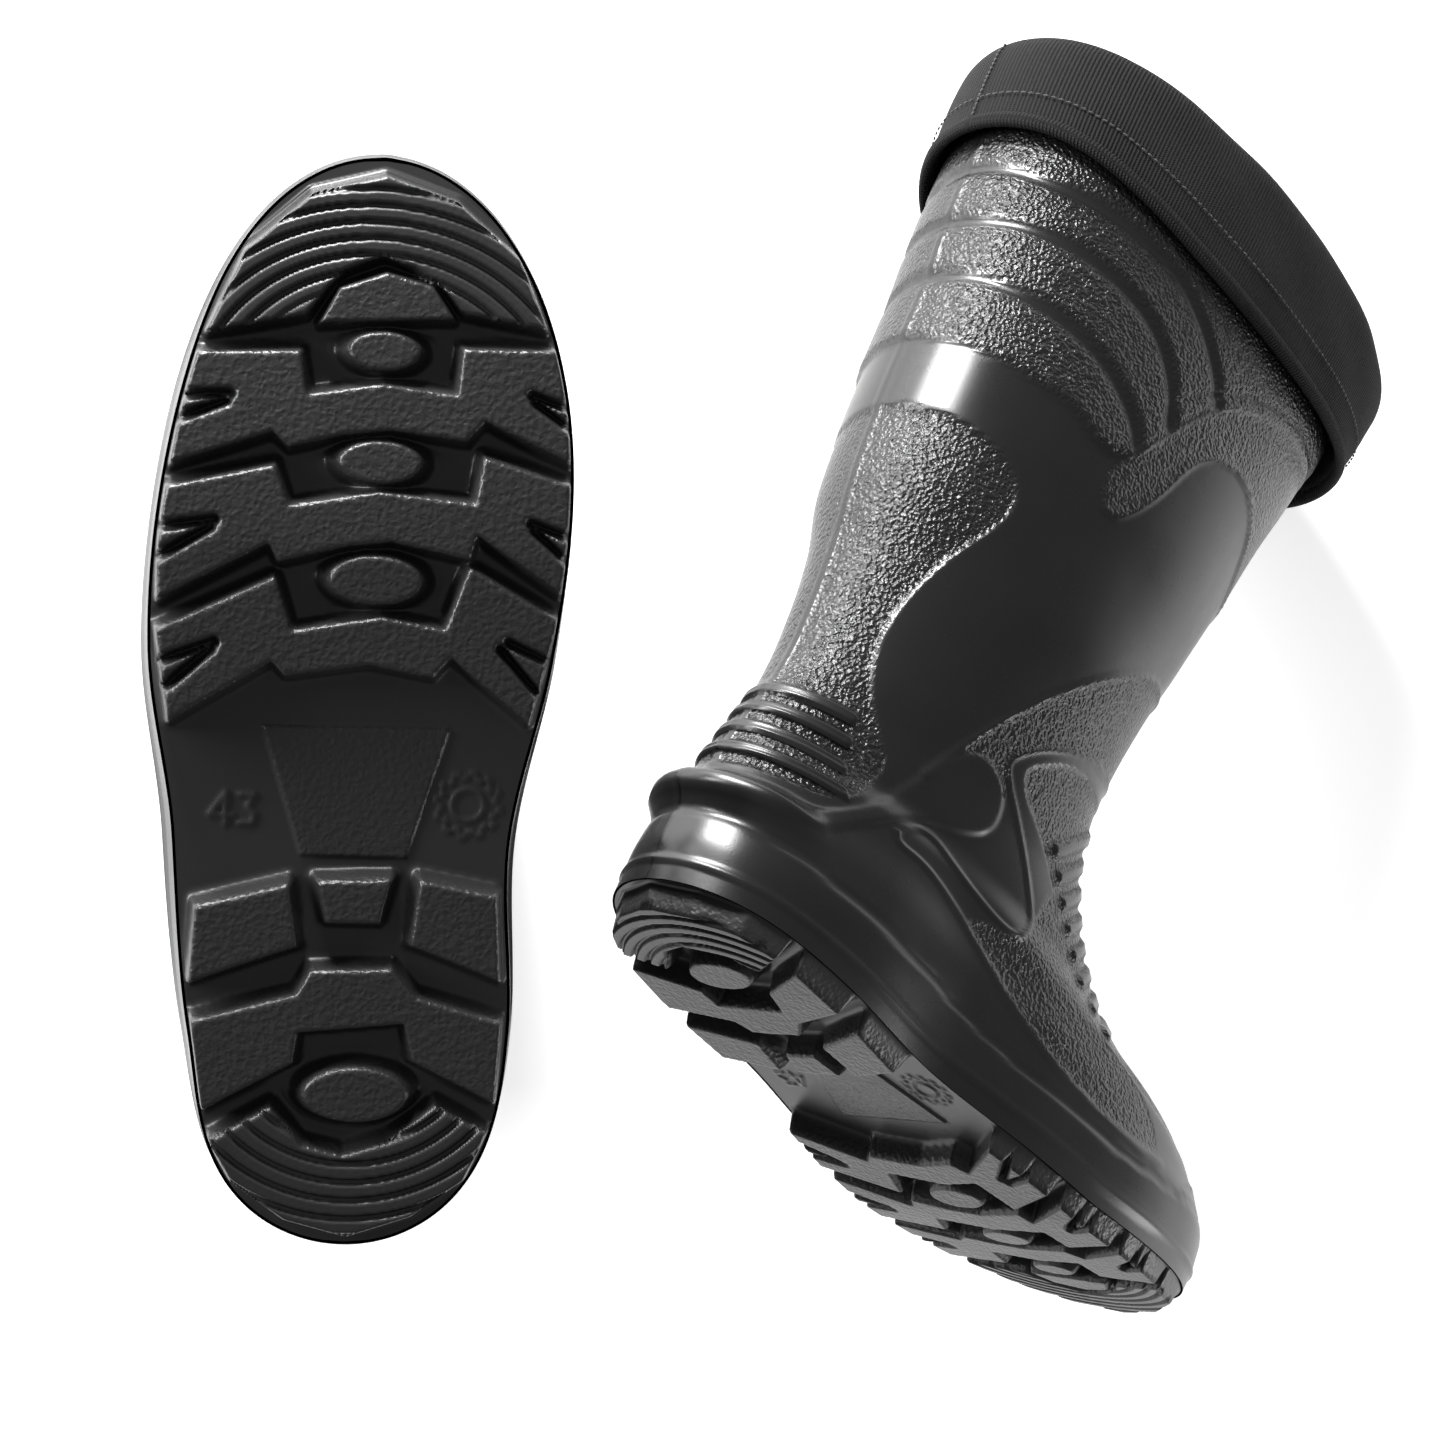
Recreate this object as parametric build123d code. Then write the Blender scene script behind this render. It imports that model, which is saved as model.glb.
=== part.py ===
from build123d import *
import math
import os

# A pair of moulded foam wellington boots, size 43, with knitted-cuff liners that pull out.
# Each boot is modelled once, in the frame of the left boot: origin at the heel tip on the tread,
# +X medial, +Y toe, +Z up the leg.  The right boot is its mirror image.
# The pair is laid out for viewing from above: the right boot stands upside down on its cuff, and
# the left boot leans on the edge of its cuff with its heel raised.  Millimetres throughout.

# ---- driving dimensions ----
WALL = 6.0                 # foam wall of foot and leg
FIT = 0.6                  # room between foam and liner
LINER = 3.5                # liner fabric
PLATE = 4.0                # insole, and the liner's sole pad
THREAD = 0.8
RECESS = 9.0               # floor of the tread's channels above the ground
LUG = 9.5                  # lug height, sunk a little into the sole
POINTS = 28                # points on one girth line
SPRING_START, SPRING_RISE = 195.0, 16.0    # the tread turns up from here to the toe
TOE_END = 305.0
CUT_REACH, CUT_DEPTH, CUT_HALF = 40.0, 20.0, 100.0     # the cut that shapes the toe spring
HEM_ROLL = 7.0
STITCH_HEIGHT = 13.0       # topstitch above the hem's lower edge

# ---- where each boot lies ----
PLACES = {
    "right": Location((-199.3, -147.2, 407.6), (-176.1, 0.2, -177.4)),
    "left": Location((-93.8, -74.1, 279.1), (-119.1, 29.8, -50.8)),
}

# ---- girth lines of the boot, from the sole to the rim ----
# (rear y, rear z), (front y, front z), medial and lateral half widths at SHARE of the length
SHARE = (0, 0.2, 0.38, 0.55, 0.8, 1)


def oval(half):
    """Half widths of a slightly flat-sided oval."""
    return tuple(half * k for k in (1.18, 1.04, 1, 1, 1.04, 1.18))


def ellipse(half):
    return (half,) * len(SHARE)


BASE = ((-7, RECESS), (305, RECESS), (79, 55, 43, 52, 66, 74), (81, 58, 54, 61, 66, 74))
FOXING = ((-9, 28), (306, 41), (76, 57, 46, 53, 65, 72), (78, 60, 57, 63, 67, 72))
SIDE = ((-9, 44), (299, 54), (70, 56, 47, 52, 60, 66), (70, 58, 58, 63, 64, 66))
TOE_TOP = ((-7, 58), (281, 69), (62, 53, 46, 49, 55, 56), (62, 54, 54, 58, 60, 56))
VAMP_1 = ((-6, 70), (250, 77), (54, 50, 46, 47, 48, 45), (54, 51, 50, 53, 53, 45))
VAMP_2 = ((-4, 84), (217, 88), ellipse(44), ellipse(47))
INSTEP = ((-1, 100), (186, 108), ellipse(44), ellipse(46))
ANKLE = ((0, 118), (165, 138), ellipse(46), ellipse(47))
LEG = [
    ((-2, 140), (160, 170), ellipse(49), ellipse(48)),
    ((-6, 165), (162, 200), ellipse(53), ellipse(52)),
    ((-13, 195), (165, 230), oval(55), oval(56)),
    ((-18, 230), (170, 262), oval(58), oval(59)),
    ((-23, 280), (176, 302), oval(60), oval(61)),
    ((-30, 325), (184, 340), oval(61), oval(62)),
]
RIM = ((-36.5, 395), (195, 411), oval(61), oval(62))
SHELL = [BASE, FOXING, SIDE, TOE_TOP, VAMP_1, VAMP_2, INSTEP, ANKLE, *LEG, RIM]

FOOTBED = ((4, 23), (290, 32), (66, 47, 36, 44, 55, 62), (66, 49, 45, 51, 55, 62))
CAVITY = [FOOTBED, SIDE, TOE_TOP, VAMP_1, VAMP_2, INSTEP, ANKLE, *LEG, RIM]
LINER_ANKLE = ((0, 118), (160.4, 138), ellipse(46), ellipse(47))    # clears the leg as it is pulled out

HEM = ((-42, 351), (203, 366), oval(66), oval(67))
CUFF_MID = ((-45, 374), (208, 390), oval(67), oval(68))
CUFF_SHOULDER = ((-46, 391), (211, 408), oval(67), oval(68))
CUFF_TOP = ((-43, 402), (207, 419), oval(64.5), oval(65.5))
POCKET_LOW = ((-38, 330), (197, 346), oval(62.5), oval(63.5))
POCKET_TOP = ((-38, 396), (197, 412), oval(62.5), oval(63.5))
SLEEVE_TOP = ((-33, 357.5), (188.7, 369.5), oval(61), oval(62))    # where the cuff is sewn on

# kick-off ledge across the back of the heel: underside, edge and top
LEDGE = [
    ((-8, 39), (60, 33), (66, 50, 42, 38, 30, 20), (66, 50, 42, 38, 30, 20)),
    ((-17, 46), (70, 37), (80, 52, 42, 38, 30, 20), (80, 52, 42, 38, 30, 20)),
    ((-5, 57), (60, 50), (60, 48, 42, 38, 30, 20), (60, 48, 42, 38, 30, 20)),
]

# ---- tread outlines, x and y on the sole ----
TOE_BLOCK = [(-48, 254), (-21, 260), (-11, 273), (0, 278), (9, 275), (23, 262), (46, 260),
             (38, 279), (20, 293), (0, 300), (-20, 293), (-38, 277)]
HALF_MOON = [(-17, 258), (-12, 268), (1, 273), (14, 270), (20, 261)]
ROW_1 = [(-53, 247), (-23, 250), (-19, 239), (1, 242), (22, 240), (23, 253), (49, 254), (54, 238),
         (56, 222), (30, 232), (24, 227), (4, 229), (-10, 227), (-25, 223), (-29, 227), (-59, 216)]
ROW_2 = [(-60, 210), (-27, 219), (-24, 207), (1, 212), (28, 210), (30, 223), (56, 216), (56, 184),
         (30, 201), (26, 194), (5, 198), (-8, 196), (-26, 191), (-29, 196), (-59, 179)]
ROW_3 = [(-58, 171), (-26, 187), (-22, 172), (3, 177), (21, 174), (27, 192), (53, 178), (46, 148),
         (23, 166), (18, 160), (0, 163), (-23, 159), (-27, 163), (-55, 145)]
HEEL_1_LATERAL = [(-46, 93), (-20, 100), (-17, 82), (-47, 71)]
HEEL_1_CENTRE = [(-12, 101), (9, 102), (6, 89), (-9, 89)]
HEEL_1_MEDIAL = [(17, 102), (39, 98), (41, 73), (15, 83)]
HEEL_2 = [(-46, 60), (-17, 68), (-13, 75), (10, 76), (17, 68), (42, 61), (41, 37), (17, 49), (14, 60),
          (-16, 57), (-17, 48), (-44, 33)]
HEEL_BLOCK = [(-40, 25), (-23, 35), (-14, 24), (-2, 21), (11, 25), (24, 36), (39, 28), (33, 14),
              (18, 3), (0, -3), (-18, 2), (-33, 13)]
OVALS = [((1, 251), (10, 5.5)), ((1, 220), (11.5, 6)), ((1, 187), (13, 7)), ((1, 39), (15, 8))]
NOTCHES = [((-62, 234), -12), ((-63, 197), -14), ((-62, 163), -18), ((60, 240), 192), ((61, 201), 194),
           ((58, 164), 200)]
NOTCH_SIZE = (36, 4)
SHANK = [(-29, 144), (24, 145), (13, 107), (-17, 107)]
SHANK_PROUD = 1.0


def smooth(value, knots, heights):
    """Cubic through the knots, with slopes from each knot's neighbours."""
    last = len(knots) - 1
    k = min(sum(value >= x for x in knots[1:last]), last - 1)

    def slope(i):
        a, b = max(i - 1, 0), min(i + 1, last)
        return (heights[b] - heights[a]) / (knots[b] - knots[a])

    step = knots[k + 1] - knots[k]
    t = (value - knots[k]) / step
    return (heights[k] * (1 + 2 * t) * (1 - t) ** 2 + slope(k) * step * t * (1 - t) ** 2
            + heights[k + 1] * t * t * (3 - 2 * t) - slope(k + 1) * step * t * t * (1 - t))


def inset(levels, depth):
    """The same girth lines, moved inward by depth."""
    result = []
    for i, (rear, front, medial, lateral) in enumerate(levels):
        below, above = levels[max(i - 1, 0)][1], levels[min(i + 1, len(levels) - 1)][1]
        rise = Vector(0, above[0] - below[0], above[1] - below[1]).normalized()
        result.append(((rear[0] + depth, rear[1]),
                       (front[0] - depth * rise.Z, front[1] + depth * rise.Y),
                       tuple(w - depth for w in medial), tuple(w - depth for w in lateral)))
    return result


def shifted(level, up):
    rear, front, medial, lateral = level
    return ((rear[0], rear[1] + up), (front[0], front[1] + up), medial, lateral)


def girth(level, straight=False):
    """Closed curve, or straight-sided loop, of one girth line in its own tilted plane."""
    rear, front, medial, lateral = level
    points = []
    for i in range(POINTS):
        angle = 2 * math.pi * i / POINTS
        share = (1 - math.cos(angle)) / 2
        widths = medial if math.sin(angle) >= 0 else lateral
        points.append((smooth(share, SHARE, widths) * math.sin(angle),
                       rear[0] + (front[0] - rear[0]) * share,
                       rear[1] + (front[1] - rear[1]) * share))
    if straight:
        return Wire.make_polygon(points)
    return Wire([Edge.make_spline(points, periodic=True)])


def skin(levels, straight=False):
    """Solid bounded by straight bands from each girth line to the next."""
    return Solid.make_loft([girth(level, straight) for level in levels], ruled=True)


def tube(levels, outer, inner):
    """Fabric tube between two insets of the same girth lines."""
    bore = inset(levels, inner)
    bore = [shifted(bore[0], -0.5), *bore[1:-1], shifted(bore[-1], 0.5)]
    return skin(inset(levels, outer)) - skin(bore)


def plate(level, thickness, depth):
    """Flat pad whose outline is one girth line moved inward by depth."""
    face = Face(girth(flat_inset(level, depth)))
    return extrude(face if face.normal_at().Z > 0 else -face, amount=thickness)


def flat_inset(level, depth):
    rear, front, medial, lateral = level
    return ((rear[0] + depth, rear[1]), (front[0] - depth, front[1]),
            tuple(w - depth for w in medial), tuple(w - depth for w in lateral))


def block(outline, low=0.0, high=LUG):
    return extrude(Face(Wire.make_polygon([(x, y, low) for x, y in outline])), amount=high - low,
                   dir=(0, 0, 1))


def tread():
    """Lugs of the sole, with slots cut into the outer edges of the front rows."""
    rows = Compound(children=[block(ROW_1), block(ROW_2), block(ROW_3)])
    for (x, y), turn in NOTCHES:
        slot = Box(*NOTCH_SIZE, LUG * 3, align=(Align.CENTER, Align.CENTER, Align.CENTER))
        rows = rows - Location((x, y, 0), (0, 0, turn)) * slot
    lugs = [TOE_BLOCK, HALF_MOON, HEEL_1_LATERAL, HEEL_1_CENTRE, HEEL_1_MEDIAL, HEEL_2, HEEL_BLOCK]
    pieces = list(rows.solids()) + [block(outline) for outline in lugs]
    for (x, y), (rx, ry) in OVALS:
        pieces.append(extrude(Pos(x, y, 0) * Ellipse(rx, ry), amount=LUG))
    pieces.append(block(SHANK, RECESS - SHANK_PROUD))
    return pieces


def toe_spring():
    """Wedge below the turned-up toe."""
    run = TOE_END - SPRING_START
    tip = SPRING_RISE / run * (run + CUT_REACH)
    side = Wire.make_polygon([(0, SPRING_START, 0), (0, TOE_END + CUT_REACH, tip),
                              (0, TOE_END + CUT_REACH, -CUT_DEPTH), (0, SPRING_START, -CUT_DEPTH)])
    return extrude(Face(side), amount=CUT_HALF, both=True, dir=(1, 0, 0))


def kick_ledge():
    """Ledge across the back of the heel, for treading the boot off."""
    return skin(LEDGE)


def boot_shell():
    """Upper, outsole and tread: one foam moulding."""
    body = skin(SHELL) + kick_ledge()
    for lug in tread():
        body = body + lug
    body = body - toe_spring()
    hollow = [CAVITY[0], *inset(CAVITY, WALL)[1:]]
    hollow = hollow[:-1] + [hollow[-1], shifted(hollow[-1], 3)]
    return body - skin(hollow)


def insole():
    return Pos(0, 0, 0.3) * plate(FOOTBED, PLATE - 0.3, 1.5)


def liner_sole():
    return Pos(0, 0, PLATE + 0.6) * plate(FOOTBED, PLATE - 0.6, 2.5)


def liner_foot():
    """Foot of the liner, from the sole pad up to the ankle seam."""
    start = shifted(FOOTBED, 2 * PLATE + 0.4)
    ankle = CAVITY.index(ANKLE)
    path = [*CAVITY[:ankle], LINER_ANKLE, *CAVITY[ankle + 1:]]
    foot = slice(1, ankle + 1)
    outer = [flat_inset(start, 2.0), *inset(path, WALL + FIT)[foot]]
    inner = [flat_inset(start, 2.0 + LINER), *inset(path, WALL + FIT + LINER)[foot]]
    inner = [shifted(inner[0], -0.5), *inner[1:-1], shifted(inner[-1], 0.5)]
    return skin(outer) - skin(inner)


def leg_levels():
    return [shifted(LINER_ANKLE, 0.3), *LEG, SLEEVE_TOP]


def liner_leg():
    return tube(leg_levels(), WALL + FIT, WALL + FIT + LINER)


def cuff():
    """Knitted band: sewn to the leg sleeve inside, turned over the rim, hanging outside."""
    band = skin([shifted(HEM, HEM_ROLL), CUFF_MID, CUFF_SHOULDER, CUFF_TOP])
    wall = [shifted(SLEEVE_TOP, -30), SLEEVE_TOP, RIM, shifted(RIM, 40)]
    pocket = skin([POCKET_LOW, POCKET_TOP]) - skin(inset(wall, WALL + FIT))
    return band - pocket - skin(inset(wall, WALL + FIT + LINER))


def cuff_hem():
    """Rolled lower edge of the cuff."""
    roll = skin([HEM, shifted(widened(HEM, 0.8), HEM_ROLL / 2), shifted(HEM, HEM_ROLL - 0.2)])
    return roll - skin([POCKET_LOW, POCKET_TOP])


def widened(level, by):
    rear, front, medial, lateral = level
    return ((rear[0] - by, rear[1]), (front[0] + by, front[1]),
            tuple(w + by for w in medial), tuple(w + by for w in lateral))


def between(low, high, up):
    """Girth line a given height above low, on the way to high."""
    share = up / (high[0][1] - low[0][1])

    def mix(a, b):
        return a + (b - a) * share

    return ((mix(low[0][0], high[0][0]), mix(low[0][1], high[0][1])),
            (mix(low[1][0], high[1][0]), mix(low[1][1], high[1][1])),
            tuple(map(mix, low[2], high[2])), tuple(map(mix, low[3], high[3])))


def ring_of_thread(level, outward, straight=False):
    """Line of stitching round a girth line, standing a thread proud of the fabric."""
    edge = [shifted(widened(level, outward), z) for z in (-THREAD / 2, THREAD / 2)]
    inner = [shifted(widened(level, outward - THREAD), z) for z in (-THREAD, THREAD)]
    return skin(edge, straight) - skin(inner, straight)


def hem_stitching():
    return ring_of_thread(between(HEM, CUFF_MID, STITCH_HEIGHT), THREAD)


def cuff_join_seam():
    return ring_of_thread(widened(SLEEVE_TOP, -WALL - FIT - LINER), THREAD / 2)


def ankle_seam():
    return ring_of_thread(widened(shifted(LINER_ANKLE, 0.2), -WALL - FIT - LINER), THREAD / 2)


def sole_seam():
    edge = flat_inset(shifted(FOOTBED, 2 * PLATE + 1.5), 1.0 + LINER)
    return ring_of_thread(edge, THREAD / 2, straight=True)


def strip(points, thickness, width):
    """Upright flat strip along the centre back, its outer edge through the points."""
    outline = points + [(y + thickness, z) for y, z in reversed(points)]
    return extrude(Face(Wire.make_polygon([(0, y, z) for y, z in outline])), amount=width / 2,
                   both=True, dir=(1, 0, 0))


def cuff_back_seam():
    levels = [shifted(HEM, HEM_ROLL), CUFF_MID, CUFF_SHOULDER]
    return strip([(level[0][0] - THREAD, level[0][1] + 0.2) for level in levels], THREAD - 0.05, 2.0)


def leg_back_seam():
    levels = inset(leg_levels(), WALL + FIT + LINER)
    return strip([(level[0][0] + 0.05, level[0][1] + 1) for level in levels[:-1]], THREAD, 3.0)


PIECES = {
    "boot_shell": boot_shell,
    "insole": insole,
    "liner_sole": liner_sole,
    "liner_foot": liner_foot,
    "liner_leg": liner_leg,
    "cuff": cuff,
    "cuff_hem": cuff_hem,
    "cuff_hem_stitching": hem_stitching,
    "cuff_back_seam": cuff_back_seam,
    "leg_back_seam": leg_back_seam,
    "cuff_join_seam": cuff_join_seam,
    "ankle_seam": ankle_seam,
    "sole_seam": sole_seam,
}

os.makedirs("parts", exist_ok=True)
for name, make in PIECES.items():
    piece = make()
    for side, place in PLACES.items():
        solid = mirror(piece, about=Plane.YZ) if side == "right" else piece
        export_step(place * solid, f"parts/{side}_{name}.step")
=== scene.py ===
import math

import bpy
import numpy as np
from mathutils import Matrix


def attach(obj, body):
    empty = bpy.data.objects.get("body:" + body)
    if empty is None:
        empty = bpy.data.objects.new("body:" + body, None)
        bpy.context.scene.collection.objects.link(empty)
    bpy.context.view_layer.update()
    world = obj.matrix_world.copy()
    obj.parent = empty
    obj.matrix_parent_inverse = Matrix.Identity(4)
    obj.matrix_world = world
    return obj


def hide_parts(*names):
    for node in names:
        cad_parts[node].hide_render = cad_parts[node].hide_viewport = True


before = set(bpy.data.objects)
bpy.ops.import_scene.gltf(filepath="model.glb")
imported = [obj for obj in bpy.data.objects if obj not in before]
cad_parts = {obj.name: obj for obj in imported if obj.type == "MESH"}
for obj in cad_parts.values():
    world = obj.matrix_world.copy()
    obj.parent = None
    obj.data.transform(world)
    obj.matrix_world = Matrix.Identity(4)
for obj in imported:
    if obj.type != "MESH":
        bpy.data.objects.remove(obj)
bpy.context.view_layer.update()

# A pair of moulded foam wellington boots with knitted-cuff liners.  Each boot is made once in
# millimetres in the frame of the left boot (+X medial, +Y toe, +Z up the leg, heel tip at the
# origin), then placed as in the CAD.  The right boot is the mirror image.

WALL, FIT, LINER, PLATE = 6.0, 0.6, 3.5, 4.0
FLOOR = 9.0                      # depth of the tread's channels
SPRING_START, SPRING_RISE, TOE_END = 195.0, 16.0, 305.0
HEM_DIP = 14.0                   # the cuff hangs lower at the sides
DIP_LOW, DIP_HIGH = 352, 396     # all of the dip below the first height, none above the second

# mesh sizes, rows by columns
UPPER_ROWS, INNER_ROWS, UPPER_COLS = 246, 22, 350
TREAD_ROWS, TREAD_COLS = 430, 150
CUFF_ROWS, CUFF_COLS, HEM_ROWS = 150, 300, 18

PLACES = {"right": ((-199.3, -147.2, 407.6), (-176.1, 0.2, -177.4)),
          "left": ((-93.8, -74.1, 279.1), (-119.1, 29.8, -50.8))}

SHARE = np.array((0, 0.2, 0.38, 0.55, 0.8, 1))


def oval(h):
    return tuple(h * k for k in (1.18, 1.04, 1, 1, 1.04, 1.18))


def ellipse(h):
    return (h,) * 6


# girth lines: (rear y, z), (front y, z), medial and lateral half widths at SHARE of the length
BASE = ((-7, 9), (305, 9), (79, 55, 43, 52, 66, 74), (81, 58, 54, 61, 66, 74))
WELT = ((-8, 18), (306, 24), (78, 56, 45, 53, 66, 74), (80, 60, 57, 63, 68, 74))
FOXING = ((-9, 28), (306, 41), (76, 57, 46, 53, 65, 72), (78, 60, 57, 63, 67, 72))
SIDE = ((-9, 44), (299, 54), (70, 56, 47, 52, 60, 66), (70, 58, 58, 63, 64, 66))
TOE_TOP = ((-7, 58), (281, 69), (62, 53, 46, 49, 55, 56), (62, 54, 54, 58, 60, 56))
VAMP_1 = ((-6, 70), (250, 77), (54, 50, 46, 47, 48, 45), (54, 51, 50, 53, 53, 45))
VAMP_2 = ((-4, 84), (217, 88), ellipse(44), ellipse(47))
INSTEP = ((-1, 100), (186, 108), ellipse(44), ellipse(46))
ANKLE = ((0, 118), (165, 138), ellipse(46), ellipse(47))
LEG = [((-2, 140), (160, 170), ellipse(49), ellipse(48)),
       ((-6, 165), (162, 200), ellipse(53), ellipse(52)),
       ((-13, 195), (165, 230), oval(55), oval(56)),
       ((-18, 230), (170, 262), oval(58), oval(59)),
       ((-23, 280), (176, 302), oval(60), oval(61)),
       ((-30, 325), (184, 340), oval(61), oval(62))]
RIM = ((-36.5, 395), (195, 411), oval(61), oval(62))
OUTER = [BASE, WELT, FOXING, SIDE, TOE_TOP, VAMP_1, VAMP_2, INSTEP, ANKLE, *LEG, RIM]
FOOTBED = ((4, 23), (290, 32), (66, 47, 36, 44, 55, 62), (66, 49, 45, 51, 55, 62))
CAVITY = [FOOTBED, SIDE, TOE_TOP, VAMP_1, VAMP_2, INSTEP, ANKLE, *LEG, RIM]
LINER_ANKLE = ((0, 118), (160.4, 138), ellipse(46), ellipse(47))
SLEEVE_TOP = ((-33, 357.5), (188.7, 369.5), oval(61), oval(62))

# ---- tread outlines ----
TOE_BLOCK = [(-48, 254), (-21, 260), (-16, 267), (-11, 273), (0, 278), (9, 275), (18, 269),
             (23, 263), (46, 260), (38, 279), (20, 294), (0, 300), (-20, 294), (-38, 277)]
HALF_MOON = [(-17, 258), (-12, 268), (1, 273), (14, 270), (20, 261)]
ROW_1 = [(-51, 248), (-22, 250), (-20, 238), (1, 242), (22, 240), (23, 253), (49, 254), (54, 238),
         (56, 222), (30, 233), (25, 227), (4, 229), (-10, 227), (-24, 223), (-29, 227), (-59, 216),
         (-55, 232)]
ROW_2 = [(-60, 210), (-28, 218), (-24, 207), (1, 212), (28, 210), (30, 223), (56, 216), (56, 184),
         (29, 201), (27, 194), (5, 198), (-8, 196), (-26, 191), (-29, 196), (-59, 179)]
ROW_3 = [(-59, 171), (-27, 187), (-22, 172), (3, 177), (21, 174), (27, 192), (53, 178), (46, 148),
         (23, 166), (18, 160), (0, 163), (-23, 159), (-27, 163), (-55, 145)]
HEEL_1 = [[(-46, 93), (-20, 100), (-17, 82), (-47, 71)],
          [(-12, 101), (9, 102), (6, 89), (-9, 89)],
          [(17, 102), (39, 98), (41, 73), (15, 83)]]
HEEL_2 = [(-46, 60), (-17, 68), (-13, 75), (10, 76), (17, 68), (42, 61), (41, 37), (17, 49),
          (14, 60), (-16, 57), (-17, 48), (-44, 33)]
HEEL_BLOCK = [(-40, 25), (-23, 35), (-14, 24), (-2, 21), (11, 25), (24, 36), (39, 28), (33, 14),
              (18, 3), (0, -3), (-18, 2), (-33, 13)]
OVALS = [((1, 251), (10, 5.5)), ((1, 220), (11.5, 6)), ((1, 187), (13, 7)), ((1, 39), (15, 8))]
NOTCHES = [((-53, 236), (-41, 237)), ((-56, 229), (-42, 235)), ((-61, 199), (-44, 202)),
           ((-61, 190), (-45, 200)), ((-58, 162), (-43, 168)), ((-56, 155), (-44, 166)),
           ((53, 238), (43, 241)), ((56, 231), (44, 239)), ((57, 201), (44, 205)),
           ((57, 193), (45, 203)), ((51, 166), (39, 171)), ((48, 157), (37, 169))]
SIZE_MARK = [[(-38.5, 115.5), (-38.5, 124.5), (-43, 118), (-36.5, 118)],
             [(-34.5, 124), (-30.5, 124), (-32.5, 120.6), (-30.2, 118.5), (-31, 116), (-34.5, 115.8)]]
SHANK = [(-29, 144), (24, 145), (13, 107), (-17, 107)]

# ---- relief on both sides of the upper, as y and z seen from the side ----
GROOVES = [[(-60, 340), (-31, 337), (-19, 333), (1, 335), (39, 335), (61, 325), (79, 312), (86, 303)],
           [(-60, 312), (-27, 310), (-15, 311), (12, 312), (42, 307), (60, 293), (67, 278)],
           [(-60, 287), (-24, 285), (-10, 282), (13, 281), (34, 276), (53, 266), (60, 256)]]
BANDS = [(-60, 420), (-60, 258), (-21, 256), (7, 251), (25, 253), (45, 247), (57, 254), (63, 264),
         (72, 286), (86, 308), (120, 331), (150, 345), (164, 351), (230, 360), (230, 420)]
S_UPPER = [(57, 255), (62, 260), (74, 285), (89, 308), (105, 321), (123, 330), (150, 343), (164, 348),
           (215, 356)]
S_UPPER_EDGE = [(66, 291), (88, 316), (104, 328), (119, 335), (158, 352), (215, 361)]
S_LOWER = [(59, 229), (67, 230), (78, 250), (86, 275), (93, 285), (103, 293), (120, 299), (138, 295),
           (146, 287), (151, 274), (160, 262), (215, 250)]
S_FIELD = [(60, 256), (74, 285), (89, 308), (105, 321), (123, 330), (150, 343), (164, 348), (260, 358),
           (260, 245), (160, 262), (151, 274), (146, 287), (138, 295), (120, 299), (103, 293),
           (93, 285), (86, 275), (78, 250), (67, 230), (59, 229), (50, 240)]
BACK_PANEL = [(-60, 228), (-15, 222), (2, 221), (18, 215), (25, 208), (27, 200), (24, 188), (18, 172),
              (14, 150), (14, 130), (19, 112), (29, 99), (38, 90), (33, 74), (18, 60), (-60, 60)]
STRAP = [(-60, 54), (0, 52), (18, 55), (40, 75), (48, 92), (56, 108), (63, 116), (71, 118), (81, 115),
         (87, 108), (87, 97), (78, 89), (62, 83), (51, 76), (33, 60), (16, 44), (-60, 44)]
ANKLE_LINE = [(50, 96), (56, 110), (71, 141), (93, 171), (116, 194), (135, 206), (150, 210), (215, 216)]
V_LINE = [(49, 69), (51, 73), (62, 80), (80, 75), (97, 72), (113, 71), (120, 74), (124, 82),
          (119, 89), (108, 100), (95, 110), (84, 117), (78, 123), (82, 130), (93, 141), (112, 153),
          (129, 160), (160, 166)]
V_OUTER = [(49, 69), (52, 66), (62, 67), (73, 66), (91, 62), (107, 57), (123, 51), (147, 44),
           (163, 41), (182, 39), (204, 39), (228, 44)]
INSTEP_PANEL = [(145, 152), (130, 151), (118, 148), (104, 141), (92, 131), (88, 126), (95, 119),
                (108, 115), (121, 109), (140, 96), (155, 82), (173, 69), (215, 62), (300, 62),
                (300, 180), (160, 158)]
INSTEP_UPPER = [(56, 110), (71, 141), (93, 171), (116, 194), (135, 206), (150, 210), (240, 216),
                (240, 172), (160, 166), (129, 160), (112, 153), (93, 141), (82, 130), (78, 123),
                (84, 117), (87, 108), (71, 120)]
VAMP_FIELD = [(91, 62), (107, 57), (123, 51), (147, 44), (182, 39), (228, 44), (215, 62), (173, 69),
              (155, 82), (140, 96), (128, 104), (124, 82), (120, 72), (100, 68)]
RIBS = [((-60, 97), (19, 98)), ((-60, 87), (21, 89)), ((-60, 77), (23, 79)), ((-60, 66), (25, 69))]
BAR_FIRST, BAR_LAST, BARS = np.array((124.0, 116.0)), np.array((182.0, 73.0)), 8
BAR_RUN = np.array((26.0, 25.0))
RAND = [(-60, 35), (0, 36), (42, 34), (88, 34), (140, 31), (200, 32), (240, 38), (262, 44), (330, 50)]
TOE_CAP = [(236, 30), (241, 38), (247, 45), (262, 54), (276, 63), (288, 68), (340, 68), (340, 30)]


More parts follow.
